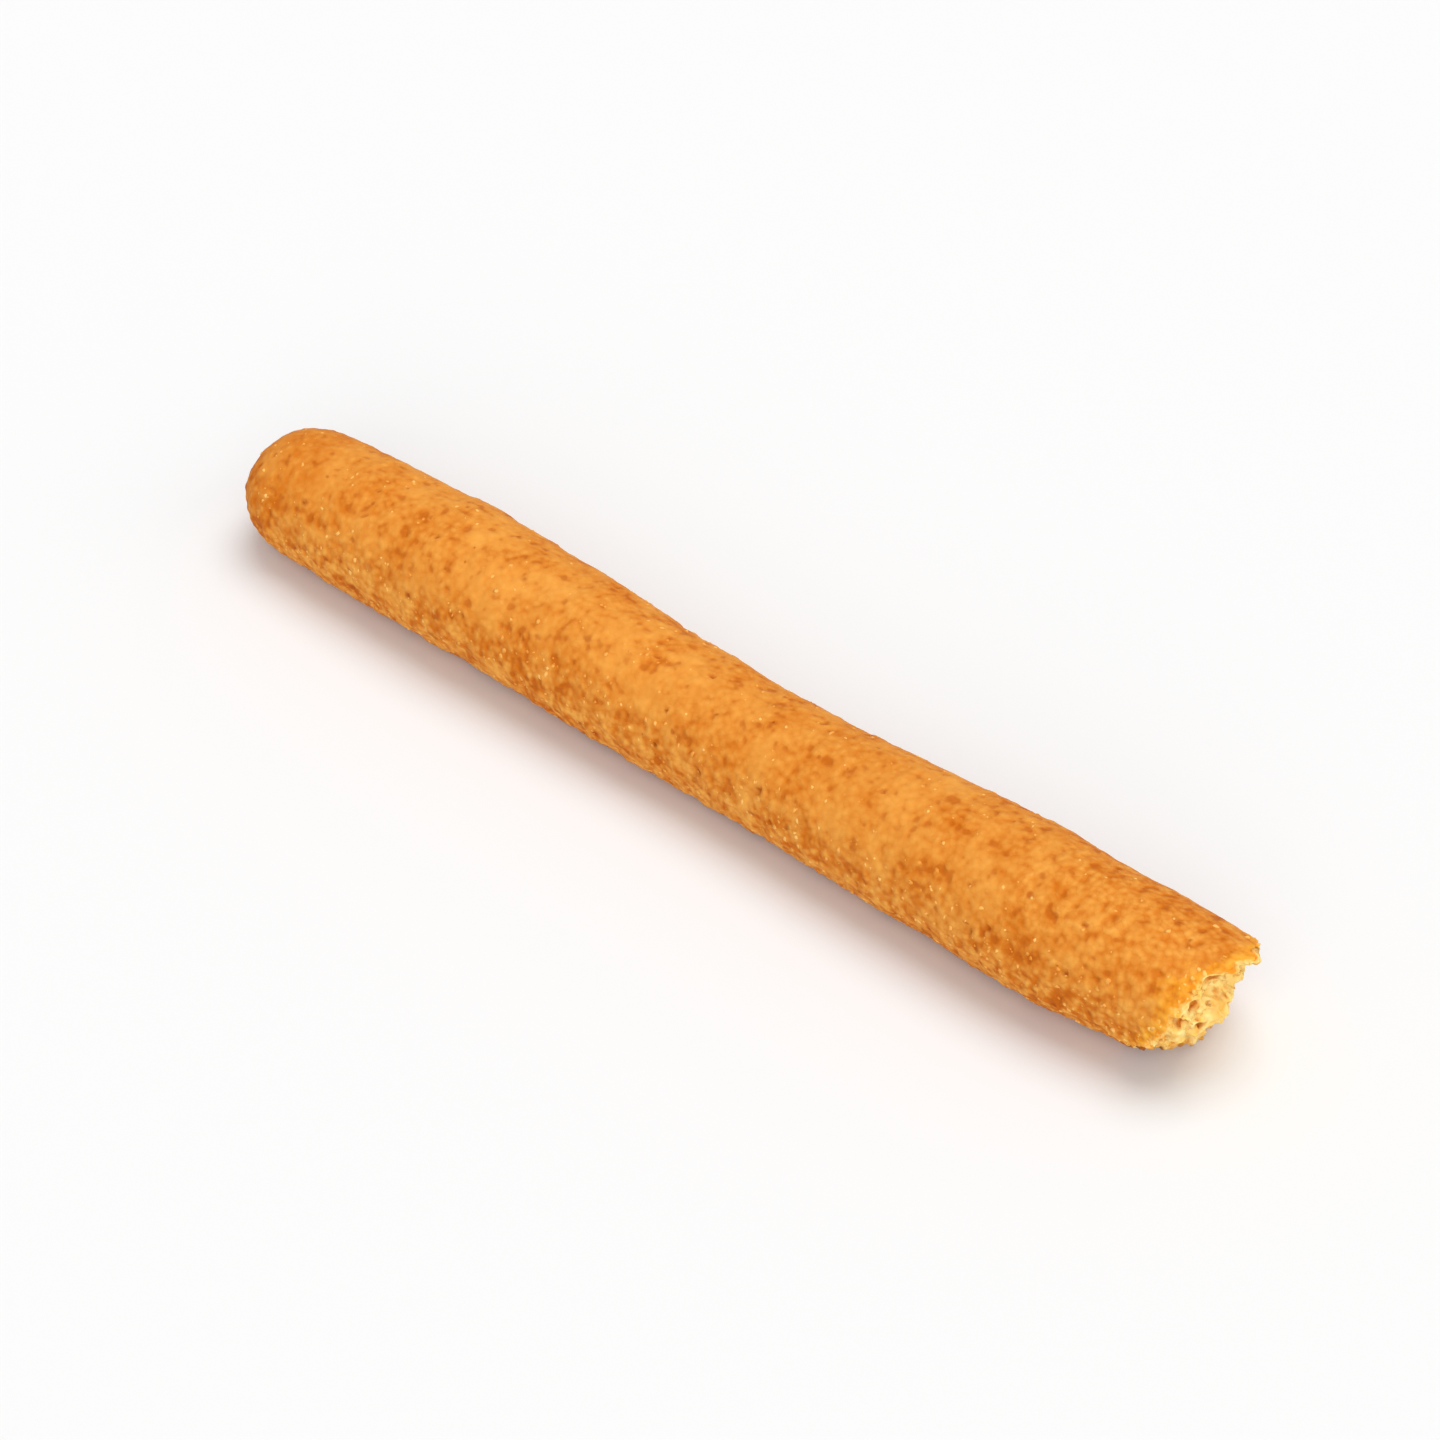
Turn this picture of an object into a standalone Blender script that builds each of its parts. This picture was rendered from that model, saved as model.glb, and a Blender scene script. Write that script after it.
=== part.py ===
"""Rusk stick: a hand-rolled, twice-baked stick of bread with one rounded end and one torn end.

Frame: +X runs along the stick towards the torn end and +Z is up. The origin lies under the
middle of the stick, on the surface that it rests on. The front side is -Y, the back side +Y.
Units are metres.
"""

import math

import bmesh
import bpy
from mathutils import Vector, noise

MM = 0.001

# Driving dimensions
LENGTH = 142.0 * MM  # from the rounded tip to the tongue of crust at the tear
WIDTH = 17.1 * MM  # across, where the stick is of its full thickness
HEIGHT = 16.2 * MM  # of the same place, with the slice that the tray flattens

# Long shape: a slight taper, and two swollen places with a waist between them
THIN_END = 0.93  # thickness at the rounded end, as a share of WIDTH and HEIGHT
TAPER_GAIN = 0.05  # what the taper adds by the torn end
SWELL = 0.045  # how far the swollen places and the waist leave the taper
SWELL_PITCH = 0.61  # from one swollen place to the next, as a share of LENGTH
SWELL_AT = 0.845  # where the thicker swollen place is, as a share of LENGTH
BACK_SHARE = 0.48  # of a swelling that shows at the back side only, as the front is straighter
CAP_LENGTH = 7.8 * MM  # of the rounded end
SUNK = 0.07  # share of the half height that the baking tray flattened

# Tear: how far it reaches along the stick in each direction round the middle line
TEAR_MIDDLE = LENGTH - 5.0 * MM  # mean reach of the crust's rim, from the rounded tip
RIM_LEAN_UP = 1.6 * MM  # more at the top, less at the bottom
RIM_LEAN_FRONT = 1.8 * MM  # more at the front, less at the back
LIP_ANGLE = math.radians(66.0)  # of the tongue of crust, from the back side upwards
LIP_SPREAD = math.radians(30.0)
LIP_REACH = 3.8 * MM
BITE_ANGLE = math.radians(229.0)  # of the broken place low on the front side
BITE_SPREAD = math.radians(32.0)
BITE_DEPTH = 4.4 * MM
CRUMB_DOME = 2.4 * MM  # how far the middle of the crumb stands out of the mean rim
CRAG_SIZES = ((5.0 * MM, 1.3 * MM), (2.7 * MM, 1.1 * MM), (1.5 * MM, 0.55 * MM))  # width, height
PORE_PITCH = 2.6 * MM
PORE_SHARE = 0.5  # radius of a pore, as a share of the pitch
PORE_DEPTH = 1.1 * MM
WHOLE_CRUST = 0.2  # share of the radius, next to the rim, over which the pores die out
END_PINCH = 0.09  # share of the thickness that the stick loses towards the tear
END_SHIFT = 0.7 * MM  # how far its middle line moves back there
END_REACH = 17.0 * MM  # length of that stretch

# Crust relief: width and height of each kind of lump in the dough
LUMP_SIZES = ((13.0 * MM, 0.30 * MM), (5.5 * MM, 0.17 * MM), (3.0 * MM, 0.07 * MM))
NOISE_START = Vector((0.0, 5.0, 9.0))  # where in the noise the first kind of relief is read
NOISE_STEP = Vector((17.0, 0.0, 0.0))  # from one kind to the next

# Cells of the surface
CELLS_ACROSS = 10  # a quarter of the cells round the stick
CELLS_ALONG = 84
TEAR_CUTS = 2  # extra cuts of each edge near the tear
TEAR_RINGS = 3  # rings of cells that get them

# Finish of the crust
CRUST_COLOUR = (0.66, 0.27, 0.045, 1.0)
CRUST_ROUGHNESS = 0.78


def clear_scene():
    for item in list(bpy.data.objects):
        bpy.data.objects.remove(item, do_unlink=True)


def smooth_step(low, high, value):
    share = min(max((value - low) / (high - low), 0.0), 1.0)
    return share * share * (3.0 - 2.0 * share)


def relief(place, sizes):
    """Sum of one noise for each (width, height) pair."""
    total = 0.0
    for index, (width, height) in enumerate(sizes):
        total += height * noise.noise(place / width + NOISE_START + index * NOISE_STEP)
    return total


def bump_at(turn, angle, spread):
    """A smooth bump of height 1 over the directions around one angle."""
    away = math.remainder(turn - angle, 2.0 * math.pi)
    return math.exp(-((away / spread) ** 2))


def thickness_at(x):
    """Thickness of the stick at x, as a share of WIDTH and HEIGHT."""
    share = x / LENGTH
    wave = math.cos(2.0 * math.pi * (share - SWELL_AT) / SWELL_PITCH)
    return THIN_END + TAPER_GAIN * share + SWELL * wave


def section_point(x, across, up):
    """Where a point of the unit disc lies on the stick's section at x."""
    half_width = 0.5 * WIDTH * thickness_at(x)
    half_height = 0.5 * HEIGHT * thickness_at(x)
    y = half_width * (BACK_SHARE + across)
    z = half_height * (1.0 - SUNK + up)
    return Vector((x, y, z))


def pores(place):
    """Depth of the round pores of the crumb at a place, zero between them."""
    distance = noise.voronoi(place / PORE_PITCH)[0][0]
    return PORE_DEPTH * max(0.0, 1.0 - distance / PORE_SHARE)


def tear_at(across, up):
    """x of the tear over a point of the unit disc: its rim, its domed crumb and the crags."""
    radius = math.hypot(across, up)
    turn = math.atan2(up, across)
    rim = RIM_LEAN_UP * up - RIM_LEAN_FRONT * across
    rim += LIP_REACH * bump_at(turn, LIP_ANGLE, LIP_SPREAD) * radius**4
    rim -= BITE_DEPTH * bump_at(turn, BITE_ANGLE, BITE_SPREAD) * radius**2
    dome = CRUMB_DOME * (1.0 - radius**2)
    flat = Vector((0.0, 0.5 * WIDTH * across, 0.5 * HEIGHT * up))
    holes = pores(flat) * smooth_step(1.0, 1.0 - WHOLE_CRUST, radius)
    return TEAR_MIDDLE + rim + dome + relief(flat, CRAG_SIZES) - holes


def disc_point(p, q):
    """Carries a point of the square from -1 to 1 onto the unit disc, its cells nearly alike."""
    if p == 0.0 and q == 0.0:
        return 0.0, 0.0
    if abs(p) >= abs(q):
        radius = p
        angle = 0.25 * math.pi * q / p
    else:
        radius = q
        angle = 0.5 * math.pi - 0.25 * math.pi * p / q
    return radius * math.cos(angle), radius * math.sin(angle)


def rounded_end_point(across, up):
    """Carries a point of the unit disc onto the rounded end."""
    radius = math.hypot(across, up)
    angle = 0.5 * math.pi * radius
    outward = math.sin(angle) / radius if radius else 0.0
    return section_point(CAP_LENGTH * (1.0 - math.cos(angle)), across * outward, up * outward)


def stick_point(cell):
    """Carries a point of the box of cells, from -1 to 1 each way, onto the smooth stick."""
    across, up = disc_point(cell.y, cell.z)
    if cell.x <= -1.0:
        return rounded_end_point(across, up)
    tear = tear_at(across, up)
    x = CAP_LENGTH + 0.5 * (cell.x + 1.0) * (tear - CAP_LENGTH)
    nearness = smooth_step(tear - END_REACH, tear, x)
    inward = 1.0 - END_PINCH * nearness
    place = section_point(x, across * inward, up * inward)
    place.y += END_SHIFT * nearness
    return place


def runs_along(edge):
    """Whether an edge of the box runs along the stick, and not across it."""
    step = edge.verts[1].co - edge.verts[0].co
    return abs(step.x) > abs(step.y) + abs(step.z)


def box_of_cells():
    """A box of square cells, with finer ones on the torn end and on the last rings before it."""
    cells = bmesh.new()
    bmesh.ops.create_cube(cells, size=2.0)
    long_edges = [e for e in cells.edges if runs_along(e)]
    bmesh.ops.subdivide_edges(cells, edges=long_edges, cuts=CELLS_ALONG - 1)
    cross_edges = [e for e in cells.edges if not runs_along(e)]
    bmesh.ops.subdivide_edges(cells, edges=cross_edges, cuts=CELLS_ACROSS - 1, use_grid_fill=True)
    first_fine = 1.0 - 2.0 * (TEAR_RINGS + 0.5) / CELLS_ALONG
    fine = [e for e in cells.edges if min(v.co.x for v in e.verts) > first_fine]
    bmesh.ops.subdivide_edges(cells, edges=fine, cuts=TEAR_CUTS, use_grid_fill=True)
    return cells


def raise_lumps(cells):
    """Moves the surface in and out along its normals by the lumps of the dough."""
    cells.normal_update()
    normals = [(vertex, vertex.normal.copy()) for vertex in cells.verts]
    for vertex, normal in normals:
        vertex.co += normal * relief(vertex.co, LUMP_SIZES)


def rest_on_tray(cells):
    """Flattens what is below the tray, and puts the origin under the middle of the stick."""
    for vertex in cells.verts:
        vertex.co.z = max(vertex.co.z, 0.0)
    for axis in (0, 1):
        places = [vertex.co[axis] for vertex in cells.verts]
        middle = 0.5 * (min(places) + max(places))
        for vertex in cells.verts:
            vertex.co[axis] -= middle


def crust_material():
    material = bpy.data.materials.new("baked_crust")
    material.use_nodes = True
    shader = material.node_tree.nodes["Principled BSDF"]
    shader.inputs["Base Color"].default_value = CRUST_COLOUR
    shader.inputs["Roughness"].default_value = CRUST_ROUGHNESS
    shader.inputs["Metallic"].default_value = 0.0
    return material


def rusk_stick():
    cells = box_of_cells()
    for vertex in cells.verts:
        vertex.co = stick_point(vertex.co)
    bmesh.ops.recalc_face_normals(cells, faces=cells.faces)
    raise_lumps(cells)
    rest_on_tray(cells)
    mesh = bpy.data.meshes.new("rusk_stick")
    cells.to_mesh(mesh)
    cells.free()
    mesh.shade_smooth()
    mesh.materials.append(crust_material())
    stick = bpy.data.objects.new("rusk_stick", mesh)
    bpy.context.scene.collection.objects.link(stick)


clear_scene()
rusk_stick()
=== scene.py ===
# %% [markdown]
# # A rusk stick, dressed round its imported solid
# A rusk stick is a roll of bread dough about as thick as a finger. It is baked, then dried in the
# oven a second time, so its crust is matt and golden brown and its crumb pale, dry and full of
# holes. This one has a rounded end, where the dough was shaped, and a torn end, where it was
# snapped off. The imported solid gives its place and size. This script makes the surface that the
# eye sees: the fine lumps, pits and flour of the crust, and the crags of the crumb.

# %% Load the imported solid
import math
import random

import bmesh
import bpy
from mathutils import Matrix, Vector, noise
from mathutils.bvhtree import BVHTree


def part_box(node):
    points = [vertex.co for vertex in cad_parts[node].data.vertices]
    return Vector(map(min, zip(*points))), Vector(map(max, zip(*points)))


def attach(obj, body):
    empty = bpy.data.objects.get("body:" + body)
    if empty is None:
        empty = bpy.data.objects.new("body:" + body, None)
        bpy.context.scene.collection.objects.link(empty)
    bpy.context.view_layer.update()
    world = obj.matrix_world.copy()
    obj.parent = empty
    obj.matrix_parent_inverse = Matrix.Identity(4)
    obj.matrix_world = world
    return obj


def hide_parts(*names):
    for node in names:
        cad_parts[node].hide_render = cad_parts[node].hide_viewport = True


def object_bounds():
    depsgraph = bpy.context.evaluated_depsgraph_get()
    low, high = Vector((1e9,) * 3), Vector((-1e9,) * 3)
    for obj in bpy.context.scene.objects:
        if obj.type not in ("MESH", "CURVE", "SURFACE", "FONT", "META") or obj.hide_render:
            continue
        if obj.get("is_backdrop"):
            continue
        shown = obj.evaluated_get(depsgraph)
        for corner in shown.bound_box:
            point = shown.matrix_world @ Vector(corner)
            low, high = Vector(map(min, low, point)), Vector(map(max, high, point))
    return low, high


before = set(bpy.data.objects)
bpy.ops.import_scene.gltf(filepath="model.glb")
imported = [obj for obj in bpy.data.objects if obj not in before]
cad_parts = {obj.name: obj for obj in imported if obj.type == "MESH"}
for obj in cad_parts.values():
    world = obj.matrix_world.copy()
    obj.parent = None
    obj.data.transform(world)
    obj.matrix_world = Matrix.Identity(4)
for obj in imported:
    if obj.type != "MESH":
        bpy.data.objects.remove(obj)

MM = 0.001
noise_seed = 11
noise.seed_set(noise_seed)  # without a seed, noise_vector differs from run to run
solid_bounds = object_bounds()
low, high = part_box("rusk_stick")
size = high - low
print("packed solid, mm:", [round(side / MM, 1) for side in size])

# %% [markdown]
# ## The long shape
# Rolled dough is never an even rod. It tapers a little and swells and narrows where the palms
# pressed it. A curve with a bevel could make a rod, but its ends would need patching. Here a box
# of square cells is carried onto the stick by one function instead, so that both ends and the
# side are one closed skin. These values say how thick the stick is at each place along it.

# %% The long shape
length = 0.9993 * size.x  # from the rounded tip to the tongue of crust at the tear
width = 0.9642 * size.y  # before its swellings
height = 1.0172 * size.z  # before the tray flattened it
thin_end, taper_gain = 0.93, 0.05  # thickness at the rounded end, and what the taper adds
swell = 0.045  # how far the swollen places and the waist leave the taper
swell_pitch, swell_at = 0.61, 0.845  # from one swollen place to the next, and where one is
back_share = 0.48  # of a swelling that shows at the back only, as the front is straighter
cap_length = 0.055 * length
sunk = 0.07  # share of the half height that the baking tray flattened


def smooth_step(start, end, value):
    """0 before start and 1 after end, with a smooth way between them."""
    share = min(max((value - start) / (end - start), 0.0), 1.0)
    return share * share * (3.0 - 2.0 * share)


def section_point(x, across, up):
    """Where a point of the unit disc lies on the stick's section at x, from the rounded tip."""
    share = x / length
    wave = math.cos(2.0 * math.pi * (share - swell_at) / swell_pitch)
    thickness = thin_end + taper_gain * share + swell * wave
    half_width, half_height = 0.5 * width * thickness, 0.5 * height * thickness
    return Vector((x, half_width * (back_share + across), half_height * (1.0 - sunk + up)))


for share in (0.1, 0.25, 0.55, 0.85):
    across = section_point(share * length, 1.0, 0.0).y - section_point(share * length, -1.0, 0.0).y
    print(f"width at {share:.0%} of the length: {across / MM:.1f} mm")

# %% [markdown]
# ## The tear
# A dry stick snaps with a leap: the crust lets go at one place and leaves a tongue at another,
# while the crumb between them bulges out in crags. The tear is worked out as a height over the
# stick's round section. The rim leans, a tongue stands out near the top, a bite is missing low at
# the front, and noise of several widths makes the crags. The wide crags and holes are the packed
# solid's own, and the rim stays within a millimetre and a half of the solid's. The fine crags are
# added here, because the crumb shows them and the solid can't.

# %% The tear
tear_middle = length - 5.2 * MM
rim_lean_up, rim_lean_front = 1.6 * MM, 1.7 * MM  # more reach at the top and at the front
# direction from the back side upwards, spread before it and after it, reach or depth
tongue = (math.radians(75.0), math.radians(75.0), math.radians(33.0), 4.2 * MM)
bite = (math.radians(227.0), math.radians(32.0), math.radians(32.0), 4.4 * MM)
crumb_dome = 2.7 * MM  # how far the middle of the crumb stands out
# width and height of each kind of crag
crag_sizes = ((5.0 * MM, 1.3 * MM), (2.7 * MM, 1.1 * MM), (1.5 * MM, 0.55 * MM))
fine_crag_sizes = ((0.9 * MM, 0.26 * MM), (0.5 * MM, 0.12 * MM))
wide_pores = (2.6 * MM, 0.5, 1.1 * MM)  # pitch, radius as a share of it, depth
pore_free = 0.8  # share of the radius from which the pores die out, as the crust is whole
noise_start, noise_step = Vector((0.0, 5.0, 9.0)), Vector((17.0, 0.0, 0.0))


def relief(place, sizes):
    """Sum of one noise for each (width, height) pair."""
    total = 0.0
    for index, (wide, tall) in enumerate(sizes):
        total += tall * noise.noise(place / wide + noise_start + index * noise_step)
    return total


def bump_at(turn, angle, spread_before, spread_after, tall):
    """A smooth bump over the directions around one angle, as wide on each side as its spread."""
    away = math.remainder(turn - angle, 2.0 * math.pi)
    spread = spread_before if away < 0.0 else spread_after
    return tall * math.exp(-((away / spread) ** 2))


def pore(place, pitch, share, deep):
    """Depth of a field of round holes, one to each cell of a random honeycomb."""
    distance = noise.voronoi(place / pitch)[0][0]
    return deep * max(0.0, 1.0 - distance / share)


def tear_at(across, up):
    """x of the tear over a point of the unit disc."""
    radius = math.hypot(across, up)
    turn = math.atan2(up, across)
    rim = rim_lean_up * up - rim_lean_front * across
    rim += bump_at(turn, *tongue) * radius**4 - bump_at(turn, *bite) * radius**2
    flat = Vector((0.0, 0.5 * width * across, 0.5 * height * up))
    holes = pore(flat, *wide_pores) * smooth_step(1.0, pore_free, radius)
    crags = relief(flat, crag_sizes) + relief(flat, fine_crag_sizes)
    return tear_middle + rim + crumb_dome * (1.0 - radius**2) + crags - holes


print("tear, mm past its middle, at the back, top, front and bottom:",
      [round((tear_at(*way) - tear_middle) / MM, 1) for way in ((1, 0), (0, 1), (-1, 0), (0, -1))])

# %% [markdown]
# ## A skin of square cells
# A cube is cut into cells and its corners are carried onto the stick. Square cells suit relief
# better than a UV sphere or a cone, which crowd their cells at the poles. Both ends get extra
# cuts: the rounded one because its cells would be stretched, the torn one because the bread's
# finest relief is there.

# %% Cut the box of cells
cells_across = 40  # a quarter of the cells round the stick
cells_along = 400
round_cuts, round_rings = 1, 3  # extra cuts of each edge, and the rings of cells that get them
tear_cuts, tear_rings = 2, 8


def runs_along(edge):
    """Whether an edge of the box runs along the stick, and not across it."""
    step = edge.verts[1].co - edge.verts[0].co
    return abs(step.x) > abs(step.y) + abs(step.z)


skin = bmesh.new()
bmesh.ops.create_cube(skin, size=2.0)
long_edges = [e for e in skin.edges if runs_along(e)]
bmesh.ops.subdivide_edges(skin, edges=long_edges, cuts=cells_along - 1)
cross_edges = [e for e in skin.edges if not runs_along(e)]
bmesh.ops.subdivide_edges(skin, edges=cross_edges, cuts=cells_across - 1, use_grid_fill=True)
for way, rings, cuts in ((1.0, tear_rings, tear_cuts), (-1.0, round_rings, round_cuts)):
    first_fine = 1.0 - 2.0 * (rings + 0.5) / cells_along
    fine_edges = [e for e in skin.edges if min(way * v.co.x for v in e.verts) > first_fine]
    bmesh.ops.subdivide_edges(skin, edges=fine_edges, cuts=cuts, use_grid_fill=True)
print("cells:", len(skin.faces), "triangles:", sum(len(f.verts) - 2 for f in skin.faces))

# %% [markdown]
# ## A map for the bake
# When the model is exported, its finish is painted into an image through a UV map. Smart UV
# Project would cut the lumpy skin into scraps. While the skin is still a box, it unfolds as a
# carton does: the four long sides lie beside each other, and the two ends get squares of their
# own above them. The map has the name that the export looks for.

# %% Unfold the box
side_share = 0.66  # of the map's height that the four long sides take
end_side = 0.32  # of a square for one end
gap = 0.01
end_start = 0.9999  # a cell whose middle is further out than this belongs to an end
bake_map = skin.loops.layers.uv.new("OFBake")


def side_and_way(centre, co):
    """Which of the long sides a cell belongs to, and how far round that side a corner lies."""
    if abs(centre.y) > abs(centre.z):
        return (0, co.z) if centre.y < 0.0 else (2, -co.z)
    return (1, co.y) if centre.z > 0.0 else (3, -co.y)


for face in skin.faces:
    centre = face.calc_center_median()
    for loop in face.loops:
        co = loop.vert.co
        if abs(centre.x) > end_start:
            left = gap if centre.x > 0.0 else 2.0 * gap + end_side
            corner = Vector((left, side_share + gap))
            loop[bake_map].uv = corner + 0.5 * end_side * Vector((co.y + 1.0, co.z + 1.0))
        else:
            side, way = side_and_way(centre, co)
            loop[bake_map].uv = (0.5 * (co.x + 1.0), side_share * (side + 0.5 * (way + 1.0)) / 4.0)
print("bake map:", bake_map.name)

# %% [markdown]
# ## Carry the box onto the stick
# The square section becomes a disc, and each place of the box becomes a place on the stick. Near
# the tear the stick is pinched a little. Every corner also keeps how far it lies from the crust's
# rim, more than 0 in the crumb and less than 0 on the crust, so that the finish can follow it.

# %% Carry the box onto the stick
end_pinch = 0.035  # share of the thickness that the stick loses towards the tear
end_shift = 0.8 * MM  # how far its middle line moves back there
end_reach = 17.0 * MM  # length of that stretch
shoulder, shoulder_reach = 0.35 * MM, 1.3 * MM  # how the broken crust is worn round
from_rim = skin.verts.layers.float.new("from_rim")


def disc_point(p, q):
    """Carries a point of the square from -1 to 1 onto the unit disc, its cells nearly alike."""
    if p == 0.0 and q == 0.0:
        return 0.0, 0.0
    if abs(p) >= abs(q):
        radius, angle = p, 0.25 * math.pi * q / p
    else:
        radius, angle = q, 0.5 * math.pi - 0.25 * math.pi * p / q
    return radius * math.cos(angle), radius * math.sin(angle)


def rounded_end_point(across, up):
    """Carries a point of the unit disc onto the rounded end."""
    radius = math.hypot(across, up)
    angle = 0.5 * math.pi * radius
    outward = math.sin(angle) / radius if radius else 0.0
    return section_point(cap_length * (1.0 - math.cos(angle)), across * outward, up * outward)


def stick_point(cell):
    """Where a corner of the box lies on the smooth stick, and how far it is from the rim."""
    across, up = disc_point(cell.y, cell.z)
    if cell.x <= -1.0:
        return rounded_end_point(across, up), cap_length - tear_middle
    tear = tear_at(across, up)
    x = cap_length + 0.5 * (cell.x + 1.0) * (tear - cap_length)
    nearness = smooth_step(tear - end_reach, tear, x)
    into_crumb = 0.5 * width * (1.0 - math.hypot(across, up))
    beyond = into_crumb if cell.x >= 1.0 else x - tear
    worn = shoulder * smooth_step(-shoulder_reach, 0.0, beyond)
    inward = 1.0 - end_pinch * nearness - worn / (0.5 * width)
    place = section_point(x, across * inward, up * inward)
    place.x -= worn * smooth_step(shoulder_reach, 0.0, beyond)
    place.y += end_shift * nearness
    return place, beyond


for vertex in skin.verts:
    vertex.co, vertex[from_rim] = stick_point(vertex.co)
bmesh.ops.recalc_face_normals(skin, faces=skin.faces)
print("reach along x, mm:", round(max(v.co.x for v in skin.verts) / MM, 1))

# %% [markdown]
# ## Lumps, pits and a warp
# The dough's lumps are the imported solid's own. On them the crust has fine lumps and, here and
# there, a pit about a millimetre wide where a bubble broke. Only so much fits the cells: what is
# finer is left to the finish. A Displace modifier could raise them, but it can't tell crust from
# crumb. In the crumb, a warp in all three directions leans the crags over, which a plain height
# can't do.

# %% Raise the relief
# width and height of each kind of lump
lump_sizes = ((13.0 * MM, 0.30 * MM), (5.5 * MM, 0.17 * MM), (3.0 * MM, 0.07 * MM))
crust_sizes = ((1.7 * MM, 0.10 * MM), (0.9 * MM, 0.09 * MM))
least_rough, flank_rough, crumb_rough = 0.8, 1.4, 1.3  # how strong the fine lumps are
rough_from, rough_full = 0.8 * height, 0.3 * height  # between these they grow down the flank
crumb_from, crust_from = 0.4 * MM, -1.6 * MM  # from the rim: all crumb, and all crust
pit_pitch, pit_share, pit_depth = 3.2 * MM, 0.7, 0.40 * MM
pit_radius, pit_radius_gain = 0.10, 0.09  # as shares of the pitch: the least, and what chance adds
pit_floor = 0.3  # share of a pit's radius that is flat
pit_warp, pit_warp_width = 0.35 * MM, 0.7 * MM  # keeps the pits from being round
lip_foot, lip_crest = 1.9, 1.1  # where a pit's lip starts and is highest, in radii
lip_turn, lip_wave = 40.0, 6.0  # turn the lip's high side another way for each pit
lip_height = 0.10 * MM
crumb_holes = ((2.1 * MM, 0.40, 1.5), (1.1 * MM, 0.30, 0.8))  # pitch, radius share, strength
hole_depth = 0.8 * MM
warp_width, warp_reach = 1.1 * MM, 0.45 * MM
pit_layer = skin.verts.layers.float.new("pit")


def pit_at(place):
    """How deep in a crust pit a place is, from 0 to 1, and how high on a pit's lip."""
    place = place + pit_warp * noise.noise_vector(place / pit_warp_width)
    distances, middles = noise.voronoi(place / pit_pitch)
    chance = 0.5 + 0.5 * noise.cell(41.0 * middles[0])  # from 0 to 1, another for each pit
    if chance > pit_share:
        return 0.0, 0.0
    radius = pit_radius + pit_radius_gain * chance
    inside = smooth_step(radius, pit_floor * radius, distances[0])
    # the lip is high on one side of the pit and dies out round it
    from_middle = place - pit_pitch * middles[0]
    lip_side = 0.5 + 0.5 * math.sin(lip_turn * chance + lip_wave * from_middle.x / MM)
    lip = smooth_step(lip_foot * radius, lip_crest * radius, distances[0]) * (1.0 - inside)
    return inside, lip * lip_side


skin.normal_update()
normals = [(vertex, vertex.normal.copy()) for vertex in skin.verts]
for vertex, normal in normals:
    place = vertex.co.copy()
    on_crust = smooth_step(crumb_from, crust_from, vertex[from_rim])
    rough = least_rough + flank_rough * smooth_step(rough_from, rough_full, place.z)
    rough += crumb_rough * (1.0 - on_crust)
    raised = relief(place, lump_sizes) + rough * relief(place, crust_sizes)
    crust_pit, lip = [on_crust * share for share in pit_at(place)]
    crumb_hole = (1.0 - on_crust) * min(1.0, sum(pore(place, *kind) for kind in crumb_holes))
    vertex[pit_layer] = crust_pit + crumb_hole
    raised = raised + lip_height * lip - pit_depth * crust_pit - hole_depth * crumb_hole
    vertex.co += normal * raised
    vertex.co += (1.0 - on_crust) * warp_reach * noise.noise_vector(place / warp_width)
print("corners in pits:", sum(v[pit_layer] > 0.5 for v in skin.verts))

# %% [markdown]
# ## Seat it where the solid is
# The tray flattened the underside, so nothing goes below it. The skin then takes the solid's
# place: the middle of its box comes over the origin, as the solid's does.

# %% Seat the skin
for vertex in skin.verts:
    vertex.co.z = max(vertex.co.z, 0.0)
for axis in (0, 1):
    places = [vertex.co[axis] for vertex in skin.verts]
    middle = 0.5 * (min(places) + max(places))
    for vertex in skin.verts:
        vertex.co[axis] -= middle
depsgraph = bpy.context.evaluated_depsgraph_get()
solid_tree = BVHTree.FromObject(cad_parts["rusk_stick"], depsgraph)
some_corners = list(skin.verts)[::7]  # enough for a measure
gaps = sorted(solid_tree.find_nearest(vertex.co)[3] for vertex in some_corners)
print("gap to the solid, mm, middle and widest:",
      round(gaps[len(gaps) // 2] / MM, 2), round(gaps[-1] / MM, 2))

# %% [markdown]
# ## Shader maths in plain Python
# The finishes are worked out from noises. One small class wraps a socket, so that an expression
# such as 1 - mask adds its Math node. Every other node comes from its one method, which takes the
# node's type, its settings and what its sockets get.

# %% The class for shader maths


class Signal:
    """An output socket of the material that is being made."""

    tree = None

    def __init__(self, socket):
        self.socket = socket

    @classmethod
    def node(cls, kind, settings=None, sockets=None, out=0):
        """Adds a node: settings first, then a value or a signal for each named socket."""
        made = cls.tree.nodes.new(kind)
        for name, setting in (settings or {}).items():
            setattr(made, name, setting)
        for name, value in (sockets or {}).items():
            if isinstance(value, Signal):
                cls.tree.links.new(value.socket, made.inputs[name])
            else:
                made.inputs[name].default_value = value
        return cls(made.outputs[out])

    def maths(self, operation, first, second):
        """Adds a Math node."""
        return Signal.node("ShaderNodeMath", {"operation": operation}, {0: first, 1: second})

    def __add__(self, other):
        return self.maths("ADD", self, other)

    def __sub__(self, other):
        return self.maths("SUBTRACT", self, other)

    def __rsub__(self, other):
        return self.maths("SUBTRACT", other, self)

    def __mul__(self, other):
        return self.maths("MULTIPLY", self, other)

    def __lt__(self, other):
        return self.maths("LESS_THAN", self, other)

    __radd__ = __add__
    __rmul__ = __mul__


def eased(value, start, end):
    """0 before start and 1 after end, with a smooth way between them."""
    settings = {"interpolation_type": "SMOOTHSTEP"}
    sockets = {"Value": value, "From Min": start, "From Max": end}
    return Signal.node("ShaderNodeMapRange", settings, sockets)


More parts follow.
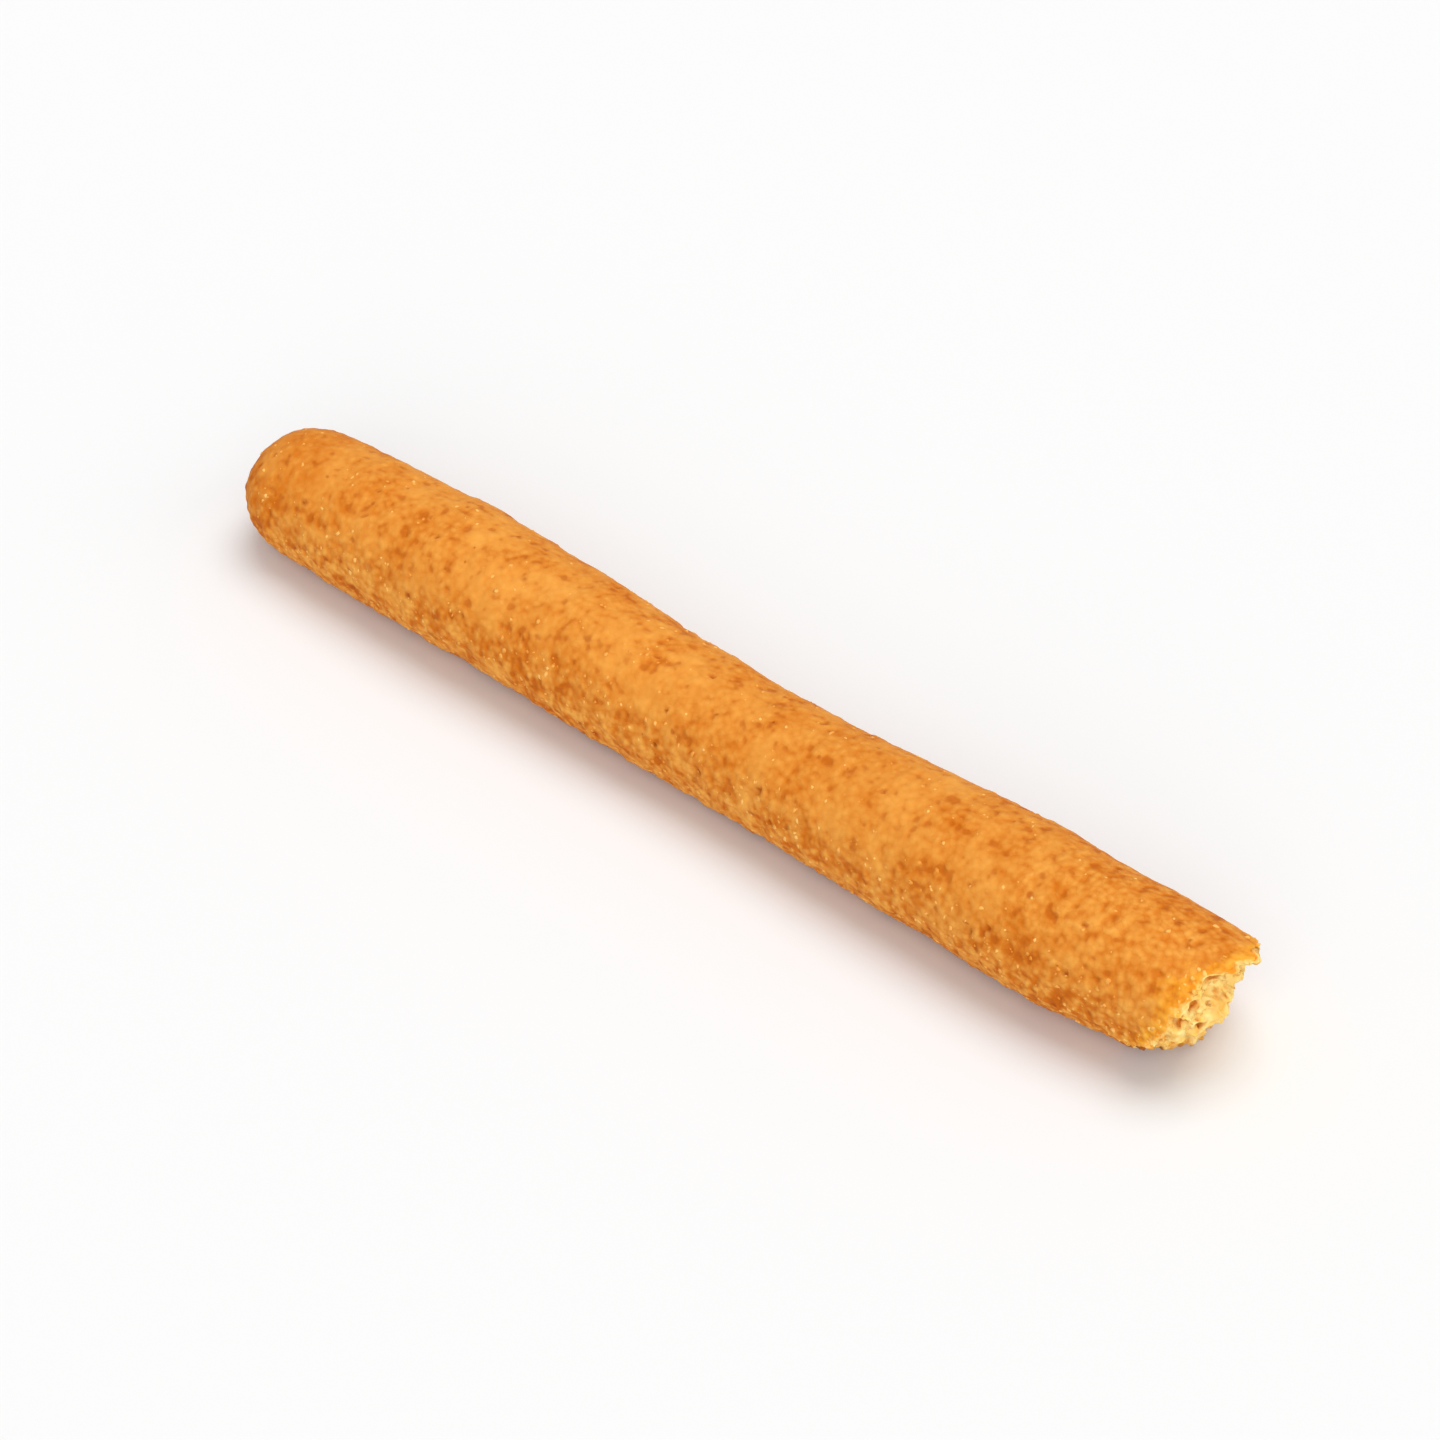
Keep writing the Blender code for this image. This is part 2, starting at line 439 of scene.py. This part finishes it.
def blended(share, first, second):
    """A colour between two others. A Mix node's colours are its inputs 6 and 7 and its output 2."""
    sockets = {0: share, 6: first, 7: second}
    return Signal.node("ShaderNodeMix", {"data_type": "RGBA"}, sockets, 2)


def screen_colour(red, green, blue):
    """A colour by its values on a screen, from 0 to 255, made linear by the sRGB standard's curve."""
    parts = [value / 255.0 for value in (red, green, blue)]
    linear = [p / 12.92 if p <= 0.04045 else ((p + 0.055) / 1.055) ** 2.4 for p in parts]
    return (*linear, 1.0)


print("a mid grey in the shader:", round(screen_colour(128, 128, 128)[0], 3))

# %% [markdown]
# ## Noises and dots at a real size
# Every pattern reads Object coordinates, which are in metres, so a width given here is the width
# on the bread. Dots come from the Voronoi texture: each cell has a point and a colour of its own,
# and the colour's red picks which cells have a dot.

# %% Noises and dots


def mottle(width, detail=2.0, roughness=0.5):
    """A cloudy noise round 0, about 0.5 either way, whose clouds are about this wide."""
    place = Signal.node("ShaderNodeTexCoord", out="Object")
    sockets = {"Vector": place, "Scale": 1.0 / width, "Detail": detail, "Roughness": roughness}
    return Signal.node("ShaderNodeTexNoise", {"noise_dimensions": "3D"}, sockets, "Fac") - 0.5


def granules(pitch, ragged=0.3):
    """A honeycomb of grains: the distance from each grain's middle, and two chances of its own.

    A cloudy noise a little narrower than a grain pushes the honeycomb about, so none is regular.
    """
    place = Signal.node("ShaderNodeTexCoord", out="Object")
    cloud = {"Vector": place, "Scale": 1.6 / pitch, "Detail": 1.0}
    push = Signal.node("ShaderNodeTexNoise", {}, cloud, "Color")
    moved = Signal.node("ShaderNodeVectorMath", {"operation": "MULTIPLY_ADD"},
                        {0: push, 1: [ragged * pitch] * 3, 2: place})
    sockets = {"Vector": moved, "Scale": 1.0 / pitch}
    distance = Signal.node("ShaderNodeTexVoronoi", {}, sockets, "Distance")
    colour = Signal.node("ShaderNodeTexVoronoi", {}, sockets, "Color")
    chances = [Signal.node("ShaderNodeSeparateColor", {}, {"Color": colour}, part)
               for part in ("Red", "Green")]
    return distance, *chances


def dots(pitch, share, radius, ragged=0.3):
    """Uneven dots, 1 at their middle, in a share of a honeycomb's cells.

    One chance says whether a cell has a dot. The other makes it from half to one and a half times
    as wide as radius says.
    """
    distance, chance, other_chance = granules(pitch, ragged)
    edge = (0.5 + other_chance) * (radius / pitch)
    return eased(distance, edge, edge * 0.25) * (chance < share)


def attribute(name):
    """A value that the skin keeps at each of its corners."""
    return Signal.node("ShaderNodeAttribute", {"attribute_name": name}, out="Fac")


def new_finish(name):
    """An empty material whose nodes the next Signals go into, and its Principled shader."""
    material = bpy.data.materials.new(name)
    material.use_nodes = True
    Signal.tree = material.node_tree
    return material, material.node_tree.nodes["Principled BSDF"]


def feed(shader, **signals):
    """Links signals to the shader's sockets. An underscore stands for a space."""
    for name, signal in signals.items():
        Signal.tree.links.new(signal.socket, shader.inputs[name.replace("_", " ")])


print("patterns: mottle, granules, dots")

# %% [markdown]
# ## The colours of bread
# Bread browns where it is hottest and driest. The crust goes from gold to brown, and flour on it is
# paler. Its pits and clefts get a darker colour, which is painted shade. Towards the tear the crust
# thins to yellow. The crumb never browned, so it is cream; the amber in its pores and holes is
# painted shade. The side that lay on the tray is dark too, and its scorched edge is the darkest.
# Each colour is chosen as a screen shows it, which is easier to judge than a shader's linear values.

# %% Colours
gold = screen_colour(241, 170, 76)
brown = screen_colour(208, 111, 16)
# painted shade: the dark colour put into the crust's pits and clefts
painted_pit_shade = screen_colour(164, 64, 2)
flour = screen_colour(252, 192, 100)
thin_crust = screen_colour(252, 186, 70)
thin_brown = screen_colour(232, 142, 28)
crumb_cream = screen_colour(255, 233, 156)
crumb_yellow = screen_colour(252, 203, 104)
# amber: real browning low on the crumb, and painted shade in its pores and holes
amber_browning_and_pore_shade = screen_colour(224, 140, 44)
tray_brown = screen_colour(165, 78, 18)
scorched = screen_colour(140, 54, 14)
print("gold in the shader:", [round(part, 3) for part in gold])

# %% [markdown]
# ## Where on the stick
# Much of the finish follows the place: how far it is from the torn rim, how deep in a pit, how
# high on the flank, how close to the rounded tip or to the tear. The mesh could be cut into
# regions with a material each, but then every border would be a hard line. The skin keeps the
# first two as attributes instead, and Object coordinates give the others, so that each one fades.

# %% Where on the stick
crust_finish, crust_shader = new_finish("baked_crust_and_crumb")
rim_distance = attribute("from_rim")
# how deep each corner lies in a pit or hole; it sets the painted shade there
hollow_shade_mask = attribute("pit")
on_stick = Signal.node("ShaderNodeTexCoord", out="Object")
along_x, across_y, height_z = [Signal.node("ShaderNodeSeparateXYZ", {}, {0: on_stick}, axis)
                               for axis in "XYZ"]
flank_top, flank_low = 0.82 * size.z, 0.35 * size.z
low_flank = eased(height_z, flank_top, flank_low)
near_tip = eased(along_x, low.x + 26.0 * MM, low.x + 2.0 * MM)
near_tear = eased(along_x, high.x - 36.0 * MM, high.x - 12.0 * MM)
print("the low flank starts at a height of", round(flank_top / MM, 1), "mm")

# %% [markdown]
# ## Blotches, grain, pits and flour
# The crust is never one brown. Blotches half as wide as a fingertip lie under a grain of about a
# millimetre. The grain, the pits and the flour are stronger low on the flank, and the grain and
# the pits near the tear too. An image of bread could be wrapped round it, but it would be a flat
# copy of one loaf. Noises of a real width give the same kinds of mark at any distance.

# %% Blotches, grain, pits and flour
broad = mottle(6.5 * MM, detail=1.0, roughness=0.8)
fine = mottle(1.5 * MM, detail=1.0, roughness=0.8)
contrast = 0.55 + 0.9 * low_flank + 0.35 * near_tear - 1.0 * broad
from_grain, grain_chance, _ = granules(0.8 * MM)
# in the colour, each grain is lighter in its middle and darker at its edge as painted shade of its
# dome, and its chance gives it a tone of its own
sand = 0.4 * (grain_chance - 0.5) + 1.1 * (0.45 - from_grain)  # each grain is domed and has a shade
# the lowest places of the fine noise: sunk in the bump and darkened as painted shade
clefts = eased(fine + 0.2 * broad, -0.08, -0.25)
pit_chance = 0.25 + 0.45 * low_flank + 0.2 * near_tear
small_pits = dots(1.9 * MM, pit_chance, radius=0.42 * MM, ragged=0.5)
flour_chance = 0.25 + 0.4 * low_flank
flour_dots = dots(1.6 * MM, flour_chance, radius=0.36 * MM)
print("nodes so far:", len(crust_finish.node_tree.nodes))

# %% [markdown]
# ## The browned crust
# The noises add up to one tone, which blends brown into gold, and is a little lower near both
# ends. A smooth step at both ends of its scale keeps the extremes soft. Clefts and pits go over it
# as painted shade, and flour dots as a paler colour, each at its own strength.

# %% The browned crust
mean_tone, brown_end, gold_end = 0.38, -0.4, 1.3
tone = mean_tone + 1.2 * broad + contrast * (2.0 * fine + 0.45 * sand)
tone = tone - 0.2 * near_tip - (0.05 + 0.1 * low_flank) * near_tear
tone = eased(tone, brown_end, gold_end)
crust_colour = blended(tone, brown, gold)
# painted shade in the clefts
crust_colour = blended(0.3 * clefts, crust_colour, painted_pit_shade)
# painted shade in the small pits
crust_colour = blended(0.5 * small_pits, crust_colour, painted_pit_shade)
crust_colour = blended((0.2 + 0.2 * low_flank) * flour_dots, crust_colour, flour)
print("nodes so far:", len(crust_finish.node_tree.nodes))

# %% [markdown]
# ## The thin crust and the crumb
# Where the stick snapped, the crust beside the rim is thin and yellow, and past the rim the crumb
# shows. Both follow the distance from the rim, with a ragged noise added so that the border
# wanders as torn bread does. The crust's pits and the crumb's holes are darkened by their depth,
# which is painted shade. The crumb has a sponge of fine pores, amber in its hollows as painted
# shade, and it is browner low down, where the stick lay on the hot tray.

# %% The thin crust and the crumb
ragged = mottle(2.8 * MM, detail=3.0, roughness=0.8)
yellowing = eased(rim_distance + 10.0 * MM * ragged, -3.6 * MM, -0.6 * MM)
crust_colour = blended(yellowing, crust_colour, blended(tone, thin_brown, thin_crust))
# painted shade in the crust's pits, as deep as they are
crust_colour = blended(0.7 * hollow_shade_mask, crust_colour, painted_pit_shade)
sponge = dots(1.0 * MM, share=0.7, radius=0.38 * MM, ragged=0.5)
crumb_colour = blended(tone, crumb_yellow, crumb_cream)
# painted shade: amber in the sponge's pores
crumb_colour = blended(0.5 * sponge, crumb_colour, amber_browning_and_pore_shade)
# painted shade: amber in the crumb's holes, as deep as they are
crumb_colour = blended(0.9 * hollow_shade_mask, crumb_colour, amber_browning_and_pore_shade)
browned_low = 0.5 * eased(height_z + 10.0 * MM * ragged, 6.5 * MM, 2.5 * MM)
crumb_colour = blended(browned_low, crumb_colour, amber_browning_and_pore_shade)
crumb_share = eased(rim_distance + 6.0 * MM * ragged, -0.9 * MM, 0.5 * MM)
bread_colour = blended(crumb_share, crust_colour, crumb_colour)
print("nodes so far:", len(crust_finish.node_tree.nodes))

# %% [markdown]
# ## What the tray did
# The underside touched the hot tray and browned evenly. Low at the front of the tear, the edge
# that lay on the tray is scorched dark. Both could be painted by hand on a map. Masks of the
# height, the rim and the front side say the same, and their borders wander with the noises.

# %% The tray side and the scorch
on_tray = eased(height_z - 4.0 * MM * broad, 1.6 * MM, 0.2 * MM)
bread_colour = blended(0.7 * on_tray, bread_colour, tray_brown)
at_rim = eased(rim_distance, -1.8 * MM, -0.9 * MM) * eased(rim_distance, 2.4 * MM, 1.5 * MM)
low_down = eased(height_z + 4.0 * MM * fine, 4.8 * MM, 3.9 * MM)
at_front = eased(across_y + 6.0 * MM * fine, 0.0, -3.0 * MM)
scorch = at_rim * low_down * at_front
bread_colour = blended(0.8 * scorch, bread_colour, scorched)
print("nodes so far:", len(crust_finish.node_tree.nodes))

# %% [markdown]
# ## Relief finer than the cells
# The cells hold lumps and pits down to about a millimetre. What is finer goes into a Bump node,
# which only tilts the light, so it costs no faces. The same noises drive it as drive the colour,
# so that a dark cleft is also a low one. Bread is dry: it is rough, and it hardly gleams.

# %% Bump and the shader's sockets
mean_roughness, dry_gleam = 0.8, 0.12
bump_height = contrast * (0.30 * MM * fine + 0.09 * MM * sand)
bump_height = bump_height - 0.05 * MM * clefts - 0.06 * MM * small_pits + 0.03 * MM * flour_dots
bump_height = bump_height + 0.12 * MM * crumb_share * (sand - sponge)
bump = Signal.node("ShaderNodeBump", {}, {"Height": bump_height, "Distance": 1.0})
feed(crust_shader, Base_Color=bread_colour, Normal=bump, Roughness=mean_roughness + 0.4 * fine)
crust_shader.inputs["Specular IOR Level"].default_value = dry_gleam
print("nodes in the crust's finish:", len(crust_finish.node_tree.nodes))

# %% [markdown]
# ## The stick itself
# The skin becomes a mesh with smooth shading, takes its finish and stands in for the plain solid.


# %% Make the stick
def add_piece(name, shape, finish):
    """Makes a piece of the object from a bmesh."""
    mesh = bpy.data.meshes.new(name)
    shape.to_mesh(mesh)
    mesh.shade_smooth()
    mesh.materials.append(finish)
    piece = bpy.data.objects.new(name, mesh)
    bpy.context.scene.collection.objects.link(piece)
    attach(piece, "root")
    print(name, "faces:", len(mesh.polygons))
    return piece


baked_stick = add_piece("baked_stick", skin, crust_finish)
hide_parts("rusk_stick")

# %% [markdown]
# ## Flour grains
# Coarse flour leaves grains that stand on the crust and catch the light. They could be dots in
# the finish alone, but then none would break the outline. Each is a flat icosphere of 20 faces,
# partly sunk into the crust. Rays from the stick's middle line find their places, with a seed, so
# that they come out the same each time.

# %% Strew the grains
grain_seed = 5
draw = random.Random(grain_seed)
skin_tree = BVHTree.FromBMesh(skin)
axis_height = 0.5 * size.z
round_end = low.x + axis_height
clear_of_tear, clear_of_floor = 5.0 * MM, 0.5 * MM
tip_chance = 0.06  # share of the grains that go on the rounded end
batch_size = 100
unevenness = 0.4  # how far a grain's corners move, as a share of its radius
flank_spans = ((-0.2, 0.16), (-0.35, 1.35), (0.84, 1.2))  # of half a turn: the flanks get more


def spot_on_crust():
    """A random place on the crust and the way that it faces, clear of the floor."""
    while True:
        if draw.random() < tip_chance:
            start = round_end
            way = Vector((-abs(draw.gauss(0, 1)), draw.gauss(0, 1), draw.gauss(0, 1)))
        else:
            start = draw.uniform(round_end, high.x - clear_of_tear)
            turn = math.pi * draw.uniform(*draw.choice(flank_spans))
            way = Vector((0.0, math.cos(turn), math.sin(turn)))
        place, normal = skin_tree.ray_cast(Vector((start, 0.0, axis_height)), way)[:2]
        if place.z > clear_of_floor:
            return place, normal


def strewn(count, low_radius, high_radius, stretch, sunk_share, spot):
    """A mesh of many uneven grains on the skin, each sunk into it by a share of its radius.

    Small batches keep each bmesh call quick.
    """
    joined = bmesh.new()
    for first in range(0, count, batch_size):
        some = bmesh.new()
        for _ in range(min(batch_size, count - first)):
            place, normal = spot()
            radius = draw.uniform(low_radius, high_radius)
            shape = Matrix.Diagonal([draw.uniform(*span) for span in stretch] + [1.0])
            facing = normal.to_track_quat("Z", "Y").to_matrix().to_4x4()
            spun = facing @ Matrix.Rotation(2.0 * math.pi * draw.random(), 4, "Z") @ shape
            middle = place - normal * radius * draw.uniform(*sunk_share)
            made = bmesh.ops.create_icosphere(some, subdivisions=1, radius=radius,
                                              matrix=Matrix.Translation(middle) @ spun)
            for vertex in made["verts"]:
                vertex.co += (vertex.co - middle) * draw.uniform(-unevenness, unevenness)
        batch_mesh = bpy.data.meshes.new("batch")
        some.to_mesh(batch_mesh)
        joined.from_mesh(batch_mesh)
        bpy.data.meshes.remove(batch_mesh)
    return joined


grain_count = 1700
flat_grain = ((0.7, 1.4), (0.6, 1.1), (0.3, 0.5))  # least and most stretch along, across, through
grains = strewn(grain_count, low_radius=0.13 * MM, high_radius=0.36 * MM, stretch=flat_grain,
                sunk_share=(0.1, 0.4), spot=spot_on_crust)
print("corners to a grain:", len(grains.verts) / grain_count)

# %% [markdown]
# ## The grains' finish
# The grains toasted with the crust, so they are gold too, only paler. A cloudy noise a few times
# as wide as a grain makes some of them darker than others.


# %% The grains' finish
def toasted(name, dark, pale):
    """A matt finish for grains, between two colours."""
    finish, shader = new_finish(name)
    shade = eased(mottle(1.5 * MM), -0.2, 0.2)
    roughness = mean_roughness + 0.2 * mottle(1.0 * MM)
    feed(shader, Base_Color=blended(shade, dark, pale), Roughness=roughness)
    shader.inputs["Specular IOR Level"].default_value = dry_gleam
    return finish


grain_finish = toasted("flour_grain", screen_colour(230, 146, 52), screen_colour(252, 196, 108))
add_piece("flour_grains", grains, grain_finish)

# %% [markdown]
# ## Crumbs at the tear
# Where the stick snapped, small crumbs cling to the broken rim and to the crust beside it. They
# are made as the grains are, but rounder and paler, and their places are corners of the skin that
# lie close to the rim.

# %% Scatter the crumbs
skin.normal_update()
crust_belt, crumb_belt = -2.5 * MM, 0.8 * MM  # how far from the rim the crumbs cling
least_height, clear_of_tongue = 1.5 * MM, 2.5 * MM
near_rim = [v for v in skin.verts if crust_belt < v[from_rim] < crumb_belt]
near_rim = [v for v in near_rim if v.co.z > least_height and v.co.x < high.x - clear_of_tongue]


def spot_near_rim():
    """A random place close to the rim, and the way that it faces."""
    vertex = draw.choice(near_rim)
    return vertex.co, vertex.normal


round_crumb = ((0.7, 1.4), (0.7, 1.2), (0.5, 0.9))
crumb_count = 150
crumbs = strewn(crumb_count, low_radius=0.12 * MM, high_radius=0.34 * MM, stretch=round_crumb,
                sunk_share=(0.2, 0.6), spot=spot_near_rim)
crumb_finish = toasted("torn_crumb", screen_colour(240, 168, 66), screen_colour(252, 208, 118))
add_piece("torn_crumbs", crumbs, crumb_finish)

# %% [markdown]
# ## The floor
# The stick lies on a plain pale table. A plane of one face is enough, because nothing on it
# needs relief. It is marked as the stage, so that it isn't taken for a part of the object, and it
# lies a hair below the underside, so that the two faces don't flicker into each other.

# %% Floor
floor_half_side, floor_drop = 2.0, 0.02 * MM
floor_white, floor_roughness = 0.83, 0.9
floor_shape = bmesh.new()
bmesh.ops.create_grid(floor_shape, x_segments=1, y_segments=1, size=floor_half_side)
bmesh.ops.translate(floor_shape, verts=floor_shape.verts, vec=(0.0, 0.0, -floor_drop))
floor_mesh = bpy.data.meshes.new("studio_floor")
floor_shape.to_mesh(floor_mesh)
floor = bpy.data.objects.new("studio_floor", floor_mesh)
bpy.context.scene.collection.objects.link(floor)
floor_finish, floor_shader = new_finish("pale_floor")
floor_shader.inputs["Base Color"].default_value = (floor_white, floor_white, floor_white, 1.0)
floor_shader.inputs["Roughness"].default_value = floor_roughness
floor_shader.inputs["Specular IOR Level"].default_value = 0.0
floor_mesh.materials.append(floor_finish)
floor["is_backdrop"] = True
print("floor side, m:", floor.dimensions.x)

# %% [markdown]
# ## Light
# Soft daylight from a window could be an area lamp, but its strength would fade along the stick.
# Three suns with wide discs light it evenly: a key from above and slightly behind, a fill from the
# front and a weak one from the torn end. A pale world fills what they leave dark.

# %% Light
world_strength = 0.43
world = bpy.data.worlds.new("studio")
world.use_nodes = True
background = world.node_tree.nodes["Background"]
background.inputs["Color"].default_value = (1.0, 1.0, 1.0, 1.0)
background.inputs["Strength"].default_value = world_strength
bpy.context.scene.world = world


def add_sun(name, azimuth, elevation, strength, spread):
    """A soft light from far away. An azimuth of 0 comes from the front, 90 from the torn end."""
    lamp = bpy.data.lights.new(name, "SUN")
    lamp.energy, lamp.angle = strength, math.radians(spread)
    sun = bpy.data.objects.new(name, lamp)
    turned, raised = math.radians(azimuth), math.radians(elevation)
    sun.rotation_euler = (0.5 * math.pi - raised, 0.0, turned)
    bpy.context.scene.collection.objects.link(sun)


add_sun("key", azimuth=160.0, elevation=76.0, strength=1.55, spread=44.0)
add_sun("fill", azimuth=38.0, elevation=34.0, strength=1.15, spread=50.0)
add_sun("side", azimuth=95.0, elevation=20.0, strength=0.6, spread=60.0)
print("suns:", [lamp.name for lamp in bpy.data.lights])

# %% [markdown]
# ## Camera
# The camera looks down on the stick from its front, with the torn end nearest. It could be turned
# by hand with Euler angles, but a direction worked out from two angles round the stick is easier
# to adjust. A long lens keeps the stick's taper true, and a slight roll sets how steeply the stick
# runs across the frame.

# %% Camera
camera_azimuth, camera_elevation = math.radians(44.5), math.radians(41.4)
camera_roll = math.radians(-2.8)
camera_distance = 0.533
lens_length = 123.0  # in millimetres, as lenses are named
target = Vector((0.0, 0.0, 0.5 * size.z))
outward = Vector((math.sin(camera_azimuth) * math.cos(camera_elevation),
                  -math.cos(camera_azimuth) * math.cos(camera_elevation),
                  math.sin(camera_elevation)))
camera_data = bpy.data.cameras.new("camera")
camera_data.lens = lens_length
camera = bpy.data.objects.new("camera", camera_data)
camera.location = target + camera_distance * outward
facing = outward.to_track_quat("Z", "Y").to_matrix().to_4x4()
roll = Matrix.Rotation(camera_roll, 4, "Z")
camera.matrix_world = Matrix.Translation(camera.location) @ facing @ roll
bpy.context.scene.collection.objects.link(camera)
bpy.context.scene.camera = camera
bpy.context.scene.view_settings.view_transform = "Standard"
print("camera at, m:", [round(part, 3) for part in camera.location])

# %% [markdown]
# ## Sizes and the end
# The dressed stick is meant to be as large as the imported solid, so the boxes of both are printed.

# %% Print the sizes and finish
dressed_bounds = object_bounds()
sizes = {"solid": [list(corner) for corner in solid_bounds],
         "dressed": [list(corner) for corner in dressed_bounds]}
for name, corners in sizes.items():
    print(name, "mm:", [[round(side / MM, 2) for side in corner] for corner in corners])
